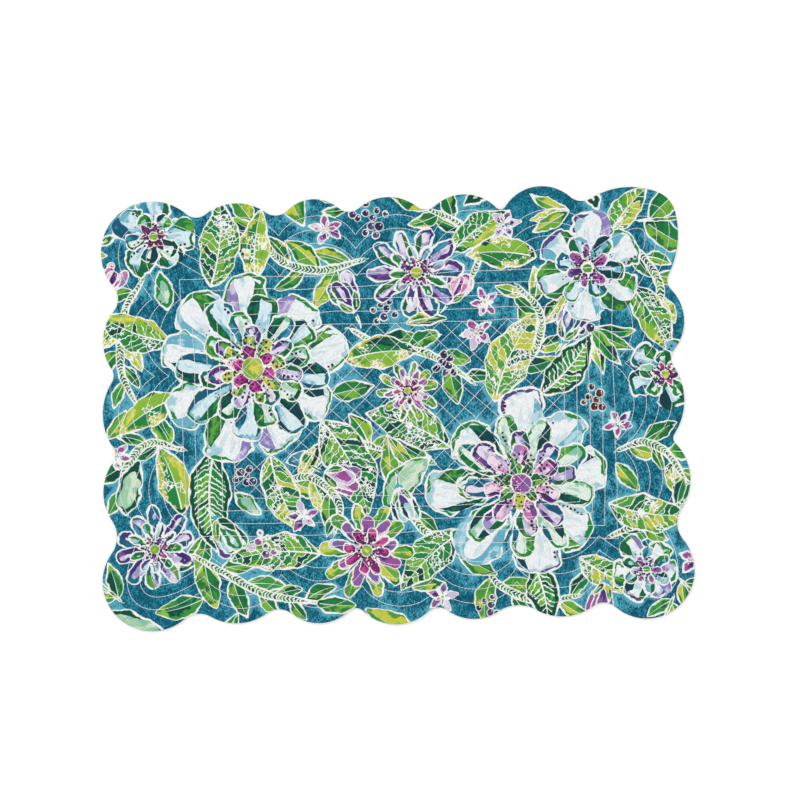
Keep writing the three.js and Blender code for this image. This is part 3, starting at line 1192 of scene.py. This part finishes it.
def dot_fields(points, faces, dots, total):
    """For each of the mesh's total faces the dots that may show on it: centre and radius, and ink."""
    centres = np.zeros((DOT_LAYERS, total, 3), np.float32)
    inks = np.zeros((DOT_LAYERS, total), np.float32)
    used = np.zeros(len(faces), int)
    middles = points[faces].mean(axis=1)
    spread = abs(points[faces] - middles[:, None]).max(axis=1)
    for dot in dots:
        near = np.nonzero(abs(middles - dot.at) < spread + dot.radius + 0.5)[0]
        near = near[used[near] < DOT_LAYERS]
        layer = used[near]
        centres[layer, near] = (dot.at.real, dot.at.imag, dot.radius)
        inks[layer, near] = table_place(dot.ink)
        used[near] += 1
    return centres, inks


def new_mesh_object(name, points, faces):
    """A mesh object at the origin from arrays of places in millimetres and of faces."""
    mesh = bpy.data.meshes.new(name)
    mesh.from_pydata((np.asarray(points) * MM).tolist(), [], np.asarray(faces).tolist())
    mesh.shade_smooth()
    made = bpy.data.objects.new(name, mesh)
    bpy.context.scene.collection.objects.link(made)
    return made


def store(mesh, name, kind, domain, values):
    """Keeps an array on the mesh as a named attribute."""
    attribute = mesh.attributes.new(name, kind, domain)
    field = "vector" if kind == "FLOAT_VECTOR" else "value"
    attribute.data.foreach_set(field, np.ascontiguousarray(values, np.float32).ravel())


def bake_map(mesh, points, back_faces):
    """A flat layout for a texture of the whole piece: the face, and the back squashed above it."""
    layer = mesh.uv_layers.new(name="OFBake")
    length = points.real.max() - points.real.min()
    corner_vertex = np.empty(len(mesh.loops), np.int64)
    mesh.loops.foreach_get("vertex_index", corner_vertex)
    flat = points[corner_vertex]
    u = (flat.real - points.real.min()) / length * (1 - 2 * MAP_MARGIN) + MAP_MARGIN
    v = (flat.imag - points.imag.min()) / length * (1 - 2 * MAP_MARGIN)
    back = np.repeat(back_faces, 3)
    v = np.where(back, v * MAP_BACK_SHARE + MAP_BACK_START, v + MAP_MARGIN)
    layer.data.foreach_set("uv", np.stack([u, v], 1).astype(np.float32).ravel())


def build_cloth(sheet):
    """The closed quilted sheet, with the print's fields on its face."""
    count = len(sheet.edge)
    sizes = sheet.sizes
    face_points, face_faces = mesh_plane(sheet, sizes.grain, FACE_RINGS)
    back_points, back_faces = mesh_plane(sheet, sizes.back_grain, BACK_RINGS)
    seam, edge = sheet.distances(face_points)
    back_seam, back_edge = sheet.distances(back_points)
    face_height = sheet.heights(face_points, seam, edge, True)
    back_height = sheet.heights(back_points, back_seam, back_edge, False)
    # The back shares the edge ring, so the sheet is closed.
    shift = np.arange(len(back_points))
    shift[count:] += len(face_points) - count
    points = np.concatenate([face_points, back_points[count:]])
    heights = np.concatenate([face_height, back_height[count:]])
    faces = np.concatenate([face_faces, shift[back_faces][:, ::-1]])
    corners = np.stack([points.real, points.imag, heights], 1)
    cloth = new_mesh_object("quilted_cloth", corners, faces)
    mesh = cloth.data
    on_back = np.arange(len(faces)) >= len(face_faces)
    mesh.polygons.foreach_set("material_index", on_back.astype(np.int32))
    marks, dots = paint_print()
    places, inks, bare = print_fields(face_points, face_faces, marks, len(faces))
    centres, dot_inks = dot_fields(face_points, face_faces, dots, len(faces))
    for layer in range(LAYERS):
        store(mesh, f"mark{layer}_place", "FLOAT_VECTOR", "CORNER", places[layer])
        store(mesh, f"mark{layer}_ink", "FLOAT_VECTOR", "FACE", inks[layer])
    for layer in range(DOT_LAYERS):
        store(mesh, f"dot{layer}_place", "FLOAT_VECTOR", "FACE", centres[layer])
        store(mesh, f"dot{layer}_ink", "FLOAT", "FACE", dot_inks[layer])
    rest = np.full(len(points) - len(face_points), WIDEST_BARE)
    store(mesh, "bare", "FLOAT", "POINT", np.concatenate([bare, rest]))
    store(mesh, "seam", "FLOAT", "POINT", np.concatenate([seam, back_seam[count:]]))
    bake_map(mesh, points, on_back)
    return cloth


# Where along a stitch each ring of the thread lies, how far it stands out in mm, and its share of
# the thread's thickness.
Station = namedtuple("Station", "share stand thick")
STATIONS = [
    Station(0.02, -0.14, 0.75),
    Station(0.16, 0.16, 1.0),
    Station(0.84, 0.16, 1.0),
    Station(0.98, -0.14, 0.75),
]
THREAD_SIDES = 4
# The seams count as this far from the edge.
FAR_INLAND = 20.0


def stitch_thread(sheet, face):
    """All the quilting stitches of one face, each a short bowed length of thread."""
    starts, ends = [], []
    for seam in sheet.seams:
        points = resample(seam, sheet.sizes.stitch)
        starts.append(points[:-1])
        ends.append(points[1:])
    starts, ends = np.concatenate(starts), np.concatenate(ends)
    along = ends - starts
    sideways = 1j * along / abs(along)
    up = 1 if face else -1
    rings = []
    for station in STATIONS:
        middle = starts + along * station.share
        on_seam = np.zeros(len(middle))
        inland = np.full(len(middle), FAR_INLAND)
        height = sheet.heights(middle, on_seam, inland, face) + up * station.stand
        radius = sheet.sizes.thread / 2 * station.thick
        for side in range(THREAD_SIDES):
            angle = 2 * math.pi * (side + 0.5) / THREAD_SIDES
            place = middle + sideways * radius * math.cos(angle)
            rings.append(np.stack([place.real, place.imag, height + radius * math.sin(angle)], 1))
    block = len(STATIONS) * THREAD_SIDES
    points = np.stack(rings, 1).reshape(-1, 3)
    pattern = []
    for low in range(0, block - THREAD_SIDES, THREAD_SIDES):
        high = low + THREAD_SIDES
        for side in range(THREAD_SIDES):
            after = (side + 1) % THREAD_SIDES
            pattern.append((low + side, high + side, high + after, low + after))
    pattern.append(tuple(range(THREAD_SIDES)))
    pattern.append(tuple(range(block - 1, block - 1 - THREAD_SIDES, -1)))
    faces = np.arange(len(starts))[:, None, None] * block + np.array(pattern)[None]
    name = "face_thread" if face else "back_thread"
    return new_mesh_object(name, points, faces.reshape(-1, THREAD_SIDES))


class Value:
    """What a node puts out. Arithmetic on it adds the Math nodes that work it out."""

    def __init__(self, graph, socket):
        self.graph = graph
        self.socket = socket

    def __add__(self, other):
        return self.graph.maths("ADD", self, other)

    def __sub__(self, other):
        return self.graph.maths("SUBTRACT", self, other)

    def __rsub__(self, other):
        return self.graph.maths("SUBTRACT", other, self)

    def __mul__(self, other):
        return self.graph.maths("MULTIPLY", self, other)

    def __truediv__(self, other):
        return self.graph.maths("DIVIDE", self, other)

    def __rtruediv__(self, other):
        return self.graph.maths("DIVIDE", other, self)

    def __lt__(self, other):
        return self.graph.maths("LESS_THAN", self, other)

    def __gt__(self, other):
        return self.graph.maths("GREATER_THAN", self, other)

    def __abs__(self):
        return self.graph.maths("ABSOLUTE", self)


class Graph:
    """Adds nodes to one tree, each wired as it is made."""

    def __init__(self, tree):
        self.tree = tree

    def feed(self, socket, value):
        if isinstance(value, Value):
            self.tree.links.new(value.socket, socket)
        else:
            socket.default_value = value

    def node(self, kind, settings=None, **inputs):
        """A node with its settings, and its inputs given by name."""
        made = self.tree.nodes.new("ShaderNode" + kind)
        for key, value in (settings or {}).items():
            setattr(made, key, value)
        for key, value in inputs.items():
            self.feed(made.inputs[key.replace("_", " ")], value)
        return made

    def out(self, node, output=0):
        return Value(self, node.outputs[output])

    def fill(self, node, *values):
        """Feeds values to a node's first inputs."""
        for socket, value in zip(node.inputs, values):
            self.feed(socket, value)
        return node

    def maths(self, operation, *values):
        return self.out(self.fill(self.node("Math", {"operation": operation}), *values))

    def vector(self, operation, *values):
        made = self.fill(self.node("VectorMath", {"operation": operation}), *values)
        return self.out(made, "Value" if operation == "DISTANCE" else "Vector")

    def step(self, value, low, high, first=0.0, last=1.0):
        """Eases from first to last as value goes from low to high."""
        made = self.node("MapRange", {"interpolation_type": "SMOOTHSTEP"})
        return self.out(self.fill(made, value, low, high, first, last))

    def mix(self, factor, below, above, blend="MIX"):
        """Lays one colour over another."""
        made = self.node("Mix", {"data_type": "RGBA", "blend_type": blend}, Factor=factor)
        self.feed(made.inputs[6], below)
        self.feed(made.inputs[7], above)
        return self.out(made, 2)

    def choose(self, factor, below, above):
        """Takes one vector or another."""
        made = self.node("Mix", {"data_type": "VECTOR"}, Factor=factor)
        self.feed(made.inputs[4], below)
        self.feed(made.inputs[5], above)
        return self.out(made, 1)

    def split(self, vector):
        made = self.node("SeparateXYZ", Vector=vector)
        return [self.out(made, axis) for axis in "XYZ"]

    def join(self, x, y, z):
        return self.out(self.node("CombineXYZ", X=x, Y=y, Z=z))

    def noise(self, vector, scale, detail=2.0, roughness=0.5):
        made = self.node(
            "TexNoise", Vector=vector, Scale=scale, Detail=detail, Roughness=roughness
        )
        return self.out(made, "Fac")

    def cells(self, vector, feature, unevenness):
        """Distance to the nearest cell's middle or border."""
        made = self.node(
            "TexVoronoi", {"feature": feature}, Vector=vector, Scale=1.0, Randomness=unevenness
        )
        return self.out(made, "Distance")

    def attribute(self, name, output="Fac"):
        return self.out(self.node("Attribute", {"attribute_name": name}), output)

    def object_place(self):
        return self.out(self.node("TexCoord"), "Object")

    def lookup(self, value, colours):
        """The colour at a row of a table, for a value that is the row's share of the table."""
        made = self.node("ValToRGB", Fac=value)
        ramp = made.color_ramp
        ramp.interpolation = "CONSTANT"
        ramp.elements.remove(ramp.elements[1])
        for i, colour in enumerate(colours):
            element = ramp.elements[0] if i == 0 else ramp.elements.new(i / len(colours))
            element.position = i / len(colours)
            element.color = colour
        return self.out(made, "Color")

    def ink_colour(self, ink, column):
        return self.lookup(ink, [linear(getattr(row, column)) for row in INKS])

    def ink_style(self, ink):
        """An ink's style, with each column looked up as a number, three at a time."""
        styles = [STYLES[row.style] for row in INKS]
        numbers = []
        for first in range(0, len(Style._fields), 3):
            rows = [(*(n / NUMBER_SCALE for n in s[first : first + 3]), 1) for s in styles]
            numbers += [number * NUMBER_SCALE for number in self.split(self.lookup(ink, rows))]
        return Style(*numbers)


def new_group(name, inputs, outputs):
    """An empty node group: the graph to fill it with, its inputs and where its outputs go."""
    tree = bpy.data.node_groups.new(name, "ShaderNodeTree")
    for way, sockets in (("INPUT", inputs), ("OUTPUT", outputs)):
        for socket, kind in sockets.items():
            tree.interface.new_socket(socket, in_out=way, socket_type="NodeSocket" + kind)
    graph = Graph(tree)
    entry = tree.nodes.new("NodeGroupInput")
    given = [graph.out(entry, name) for name in inputs]
    return graph, given, tree.nodes.new("NodeGroupOutput").inputs


def mark_group():
    """Lays one painted mark over what is below it."""
    inputs = {
        "Place": "Vector",
        "Ink": "Vector",
        "Wobble": "Float",
        "Below place": "Vector",
        "Below tag": "Vector",
    }
    outputs = {"Place": "Vector", "Tag": "Vector"}
    graph, given, result = new_group("Painted mark", inputs, outputs)
    place, ink, wobble, below_place, below_tag = given
    fraction, across, reach = graph.split(place)
    ink, seed, length = graph.split(ink)
    # A line's length is below zero, and its reach still lacks the distance from its middle.
    edge = reach + (length < 0.0) * abs(across) + wobble
    inside = edge < 0.0
    place = graph.join(fraction * abs(length), across, edge)
    tag = graph.join(ink, seed, fraction)
    graph.feed(result["Place"], graph.choose(inside, below_place, place))
    graph.feed(result["Tag"], graph.choose(inside, below_tag, tag))
    return graph.tree


# Noise that follows the cloth's threads is longer across the mat than along it.
THREADWISE = (1.0, 0.6, 1.0)
SLUB_SCALE = 2600.0
SLUB_STRETCH = 0.12
# Threads of the face and of the back in metres, and how high the weave stands.
Weave = namedtuple("Weave", "pitch height")
FACE_WEAVE = Weave(0.00036, 0.00010)
BACK_WEAVE = Weave(0.00040, 0.00012)


def weave_group():
    """Plain weave: the height of its threads and a fine unevenness of their colour."""
    graph, (position, pitch), result = new_group(
        "Plain weave",
        {"Position": "Vector", "Pitch": "Float"},
        {"Height": "Float", "Shade": "Float"},
    )
    x, y, _ = graph.split(position)
    turns = math.pi / pitch
    threads = graph.maths("SINE", x * turns) * graph.maths("SINE", y * turns)
    warp_slubs, weft_slubs = (
        graph.noise(graph.vector("MULTIPLY", position, stretch), SLUB_SCALE, 1.0)
        for stretch in ((1.0, SLUB_STRETCH, 1.0), (SLUB_STRETCH, 1.0, 1.0))
    )
    slub = warp_slubs + weft_slubs
    graph.feed(result["Height"], threads * 0.5 + slub)
    graph.feed(result["Shade"], slub)
    return graph.tree


def new_material(name, **finish):
    """A material with an empty tree, and its graph and shader, which has the given finish."""
    material = bpy.data.materials.new(name)
    material.use_nodes = True
    material.node_tree.nodes.clear()
    graph = Graph(material.node_tree)
    shader = graph.node("BsdfPrincipled", **finish)
    graph.node("OutputMaterial", Surface=graph.out(shader))
    return material, graph, shader


def ground_colour(graph, position, bare, grain, colours):
    """The mottled ground, washed pale in patches and in places beside the flowers."""
    patchy = graph.noise(position, 60.0, 4.0, 0.6)
    streaks = graph.noise(graph.vector("MULTIPLY", position, THREADWISE), 280.0, 4.0, 0.7)
    broad = graph.noise(position, 21.0, 2.0, 0.5)
    speckle = (grain - 0.5) * 0.85
    tone = patchy * 0.4 + streaks * 0.6 + speckle
    colour = graph.mix(graph.step(tone, 0.36, 0.60), colours.deep[:], colours.middle[:])
    washed = tone + broad * 0.35
    colour = graph.mix(graph.step(washed, 0.66, 0.88, 0.0, 0.9), colour, colours.pale[:])
    reach = graph.step(broad, 0.46, 0.62, -2.0, 2.6) + streaks * 4.5
    near = bare - reach - speckle * 6.0
    return graph.mix(graph.step(near, -3.2, 0.3, 0.7, 0.0), colour, colours.halo[:])


class MarkPaint:
    """Paints the topmost mark, from where a point lies in it, one step over another."""

    def __init__(self, graph, place, tag, position, fine, swing, colours):
        self.graph = graph
        self.fine = fine
        self.swing = swing
        self.colours = colours
        self.along, self.across, edge = graph.split(place)
        ink, self.seed, self.fraction = graph.split(tag)
        self.light, self.dark, self.blush, self.accent, self.dash_ink = (
            graph.ink_colour(ink, column) for column in Ink._fields[2:]
        )
        self.style = graph.ink_style(ink)
        self.outline = self.style.edge * graph.step(
            graph.noise(position, 95.0, 2.0, 0.6), 0.36, 0.74, 0.6, 2.2
        )
        self.painted = edge * -1.0 - self.outline
        self.beside = abs(self.across)
        self.side = self.across > 0.0
        self.shifted = self.seed * 40.0
        self.moved = graph.vector("ADD", position, graph.join(self.seed, self.seed, 0.0))
        self.patches = graph.noise(self.moved, 55.0, 3.0, 0.6)

    def stretched(self, lengthwise, crosswise):
        """A place along and across the mark for a pattern, different for each mark."""
        return self.graph.join(self.along * lengthwise, self.across * crosswise, self.shifted)

    def wash(self):
        """Streaks along the mark, deeper at its root and on one side."""
        graph, style = self.graph, self.style
        wash = graph.noise(self.stretched(0.07, 0.22), 1.0, 4.0, 0.62)
        root = (0.45 - self.fraction) * style.deepen
        lean = (self.side - 0.5) * style.split * 0.4
        return graph.mix(graph.step(wash + (root + lean), 0.42, 0.54), self.light, self.dark)

    def pools(self, colour):
        """A third colour pools along parts of the edge."""
        pooled = self.patches - self.painted * 0.022 + self.fine * 0.08
        return self.graph.mix(self.graph.step(pooled, 0.455, 0.53, 0.0, 0.9), colour, self.blush)

    def bands(self, colour):
        """Slanted bands between white gaps, and a white midrib."""
        graph, style = self.graph, self.style
        spacing = graph.maths("MAXIMUM", style.pitch, 1.0)
        slanted = (self.along - self.beside * 0.75) / spacing + self.swing * 1.8
        place = graph.join(graph.maths("FLOOR", slanted), self.side, self.seed)
        chance = graph.out(graph.node("TexWhiteNoise", Vector=place), "Value")
        banded = graph.mix(chance > 0.50, colour, self.dark)
        banded = graph.mix(chance > 0.72, banded, self.accent)
        banded = graph.mix(chance > 0.90, banded, self.light)
        has_bands = style.pitch > 1.0
        white = (graph.maths("FRACT", slanted) < style.gap * (self.fine + 0.5)) * has_bands
        midrib = self.beside < style.rib * (1.15 - self.fraction)
        colour = graph.mix(has_bands, colour, banded)
        return graph.mix(graph.maths("MAXIMUM", white, midrib), colour, self.colours.resist[:])

    def rim(self, colour):
        """A brushed stroke just inside parts of the edge."""
        graph, style = self.graph, self.style
        strength = graph.noise(self.moved, 48.0, 1.0) - (0.73 - style.rim * 0.42)
        thickness = graph.maths("MINIMUM", strength * 22.0, 3.0)
        inset = self.painted - 0.3
        stroke = (inset > 0.0) * (inset < thickness) * (style.rim > 0.0)
        return graph.mix(stroke, colour, graph.mix(self.seed > 0.6, self.accent, self.dash_ink))

    def dashes(self, colour):
        """Short dashes towards the root of a petal."""
        graph = self.graph
        dash = graph.cells(self.stretched(0.36, 0.52), "F1", 0.7) < 0.30
        near_root = graph.step(self.fraction, 0.34, 0.62, 1.0, 0.0)
        where = near_root * graph.step(self.patches, 0.44, 0.5)
        return graph.mix(dash * where * self.style.dashes > 0.25, colour, self.dash_ink)

    def cells(self, colour):
        """Parts of some leaves break into round cells between white lines."""
        graph = self.graph
        between = graph.cells(self.stretched(0.26, 0.34), "DISTANCE_TO_EDGE", 0.8) < 0.085
        broken = between * graph.step(self.patches, 0.52, 0.56) * self.style.cells
        return graph.mix(broken > 0.25, colour, self.colours.resist[:])

    def edging(self, colour):
        """The white resist outline, with a faint fringe inside it."""
        graph = self.graph
        fringe = graph.step(self.painted, 0.1, 0.7, 0.55, 0.0) * (self.outline > 0.1)
        colour = graph.mix(fringe, colour, self.colours.fringe[:])
        return graph.mix(self.painted < 0.0, colour, self.colours.resist[:])

    def colour(self):
        colour = self.wash()
        for lay in (self.pools, self.bands, self.rim, self.dashes, self.cells, self.edging):
            colour = lay(colour)
        return colour


def weave_shade(graph, tree, position, weave):
    """The weave's unevenness of colour, and a normal from the weave and the tucks at the seams."""
    threads = graph.node("Group", {"node_tree": tree}, Position=position, Pitch=weave.pitch)
    tucks = graph.noise(position, 260.0, 2.0, 0.55)
    tucks = tucks * graph.step(graph.attribute("seam"), 0.0, 5.0, 1.0, 0.25)
    tucks = graph.node("Bump", Height=tucks, Distance=0.0004, Strength=0.5)
    normal = graph.node(
        "Bump",
        Height=graph.out(threads, "Height"),
        Distance=weave.height,
        Strength=0.6,
        Normal=graph.out(tucks),
    )
    return graph.out(threads, "Shade"), graph.out(normal)


def tone_down(graph, colour, shade):
    """The colour times a grey shade."""
    return graph.mix(1.0, colour, graph.join(shade, shade, shade), blend="MULTIPLY")


def topmost_mark(graph, wobble):
    """Where a point lies in the topmost mark that covers it, and that mark's tag."""
    place, tag = (0.0, 0.0, FAR_AWAY), (0.0, 0.0, 0.0)
    tree = mark_group()
    for layer in reversed(range(LAYERS)):
        group = graph.node(
            "Group",
            {"node_tree": tree},
            Place=graph.attribute(f"mark{layer}_place", "Vector"),
            Ink=graph.attribute(f"mark{layer}_ink", "Vector"),
            Wobble=wobble,
            Below_place=place,
            Below_tag=tag,
        )
        place, tag = graph.out(group, "Place"), graph.out(group, "Tag")
    return place, tag


def paint_dots(graph, colour, position, wobble):
    """Lays the round dots over the marks."""
    flat = graph.vector("MULTIPLY", position, (1 / MM, 1 / MM, 0.0))
    for layer in range(DOT_LAYERS):
        x, y, radius = graph.split(graph.attribute(f"dot{layer}_place", "Vector"))
        away = graph.vector("DISTANCE", flat, graph.join(x, y, 0.0)) + wobble * 0.5
        dot = graph.ink_colour(graph.attribute(f"dot{layer}_ink"), "dark")
        colour = graph.mix(away < radius, colour, dot)
    return colour


def print_material(weave_tree, colours):
    """Printed cotton: teal ground, painted flowers and leaves with white outlines."""
    material, graph, shader = new_material(
        "printed_cotton", Roughness=0.88, Specular_IOR_Level=0.12, Sheen_Weight=0.05
    )
    position = graph.object_place()
    fine = graph.noise(position, 420.0, 3.0, 0.65)
    swing = graph.noise(position, 150.0, 2.0, 0.5)
    grain = graph.noise(graph.vector("MULTIPLY", position, THREADWISE), 1000.0, 2.0, 0.7)
    wobble = (swing - 0.5) * 2.4
    place, tag = topmost_mark(graph, wobble)
    ground = ground_colour(graph, position, graph.attribute("bare"), grain, colours)
    painted = MarkPaint(graph, place, tag, position, fine, swing, colours).colour()
    colour = graph.mix(graph.split(place)[2] < 0.0, ground, painted)
    colour = paint_dots(graph, colour, position, wobble)
    slub, normal = weave_shade(graph, weave_tree, position, FACE_WEAVE)
    shade = fine * 0.36 + grain * 0.46 + 0.58 + slub * 0.03
    graph.feed(shader.inputs["Base Color"], tone_down(graph, colour, shade))
    graph.feed(shader.inputs["Normal"], normal)
    return material


def backing_material(weave_tree, colours):
    """Plain off-white cotton, a little uneven in tone."""
    material, graph, shader = new_material(
        "backing_cotton", Roughness=0.9, Specular_IOR_Level=0.2
    )
    position = graph.object_place()
    slub, normal = weave_shade(graph, weave_tree, position, BACK_WEAVE)
    shade = slub * 0.06 + graph.noise(position, 45.0, 4.0, 0.6) * 0.1 + 0.88
    graph.feed(shader.inputs["Base Color"], tone_down(graph, colours.backing[:], shade))
    graph.feed(shader.inputs["Normal"], normal)
    return material


def thread_material(name, colour):
    """Cotton thread with the twist of its plies."""
    material, graph, shader = new_material(name, Roughness=0.6)
    position = graph.object_place()
    x, y, _ = graph.split(position)
    twist = graph.maths("SINE", (x + y) * 9000.0)
    shade = graph.noise(position, 900.0, 2.0) * 0.2 + 0.88
    bump = graph.node("Bump", Height=twist, Distance=0.00004, Strength=0.5)
    graph.feed(shader.inputs["Base Color"], tone_down(graph, colour[:], shade))
    graph.feed(shader.inputs["Normal"], graph.out(bump))
    return material


class PLACEMAT_OT_cloth(bpy.types.Operator):
    """Builds the quilted cloth: printed face, wadding and plain backing in one closed sheet"""

    bl_idname = "placemat.cloth"
    bl_label = "Quilted cloth"

    def execute(self, context):
        cloth = build_cloth(Sheet(context.scene.quilt_sizes))
        colours = context.scene.print_colours
        weave_tree = weave_group()
        cloth.data.materials.append(print_material(weave_tree, colours))
        cloth.data.materials.append(backing_material(weave_tree, colours))
        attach(cloth, "root")
        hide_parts("mat")
        return {"FINISHED"}


class PLACEMAT_OT_thread(bpy.types.Operator):
    """Sews the quilting stitches of both faces"""

    bl_idname = "placemat.thread"
    bl_label = "Quilting thread"

    def execute(self, context):
        sheet = Sheet(context.scene.quilt_sizes)
        for face in (True, False):
            thread = stitch_thread(sheet, face)
            colour = getattr(context.scene.print_colours, thread.name)
            thread.data.materials.append(thread_material(thread.name, colour))
            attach(thread, "root")
        return {"FINISHED"}


# The camera looks straight down. The view is as wide as the whole photo, and turned as it is.
CAMERA_HEIGHT = 2.2
VIEW_WIDTH = 0.6656
VIEW_CENTRE = (0.00519, 0.00643)
VIEW_ROLL = -1.6
SENSOR = 36.0
Lamp = namedtuple("Lamp", "name place size power")
LAMPS = [
    Lamp("key", (-1.7, 1.9, 3.2), 1.4, 56.0),
    Lamp("fill", (2.4, -1.8, 3.2), 2.4, 34.0),
]
WORLD_STRENGTH = 0.70
FLOOR_SIZE = 12.0
FLOOR_DROP = 0.0002
FLOOR_WHITE = 0.97


class PLACEMAT_OT_stage(bpy.types.Operator):
    """Lays out the floor, the light and the camera"""

    bl_idname = "placemat.stage"
    bl_label = "Stage"

    def execute(self, context):
        bpy.ops.object.select_all(action="DESELECT")
        bpy.ops.mesh.primitive_plane_add(size=FLOOR_SIZE, location=(0, 0, -FLOOR_DROP))
        floor = context.object
        floor.name = "floor"
        white = (FLOOR_WHITE, FLOOR_WHITE, FLOOR_WHITE, 1)
        floor.data.materials.append(new_material("floor", Base_Color=white, Roughness=0.9)[0])

        world = bpy.data.worlds.new("studio")
        context.scene.world = world
        world.use_nodes = True
        background = world.node_tree.nodes["Background"]
        background.inputs["Color"].default_value = (1, 1, 1, 1)
        background.inputs["Strength"].default_value = WORLD_STRENGTH
        for row in LAMPS:
            light = bpy.data.lights.new(row.name, "AREA")
            light.size = row.size
            light.energy = row.power
            lamp = bpy.data.objects.new(row.name, light)
            lamp.location = row.place
            lamp.rotation_euler = (-Vector(row.place)).to_track_quat("-Z", "Y").to_euler()
            context.scene.collection.objects.link(lamp)

        camera = bpy.data.cameras.new("camera")
        camera.sensor_width = SENSOR
        camera.lens = SENSOR * CAMERA_HEIGHT / VIEW_WIDTH
        viewer = bpy.data.objects.new("camera", camera)
        viewer.location = (*VIEW_CENTRE, CAMERA_HEIGHT)
        viewer.rotation_euler = (0, 0, math.radians(VIEW_ROLL))
        context.scene.collection.objects.link(viewer)
        context.scene.camera = viewer
        context.scene.view_settings.view_transform = "Standard"
        return {"FINISHED"}


class PLACEMAT_PT_panel(bpy.types.Panel):
    """Lists the placemat's pieces, sizes and colours"""

    bl_label = "Placemat"
    bl_idname = "PLACEMAT_PT_panel"
    bl_space_type = "VIEW_3D"
    bl_region_type = "UI"
    bl_category = "Placemat"

    def draw(self, context):
        layout = self.layout
        for group in (context.scene.quilt_sizes, context.scene.print_colours):
            for name in type(group).__annotations__:
                layout.prop(group, name)
        for operator in (PLACEMAT_OT_cloth, PLACEMAT_OT_thread, PLACEMAT_OT_stage):
            layout.operator(operator.bl_idname)


CLASSES = (
    QuiltSizes,
    PrintColours,
    PLACEMAT_OT_cloth,
    PLACEMAT_OT_thread,
    PLACEMAT_OT_stage,
    PLACEMAT_PT_panel,
)


def register():
    for cls in CLASSES:
        bpy.utils.register_class(cls)
    bpy.types.Scene.quilt_sizes = bpy.props.PointerProperty(type=QuiltSizes)
    bpy.types.Scene.print_colours = bpy.props.PointerProperty(type=PrintColours)


def unregister():
    del bpy.types.Scene.print_colours
    del bpy.types.Scene.quilt_sizes
    for cls in reversed(CLASSES):
        bpy.utils.unregister_class(cls)


def main():
    register()
    bpy.ops.placemat.cloth()
    bpy.ops.placemat.thread()
    bpy.ops.placemat.stage()


if __name__ == "__main__":
    main()
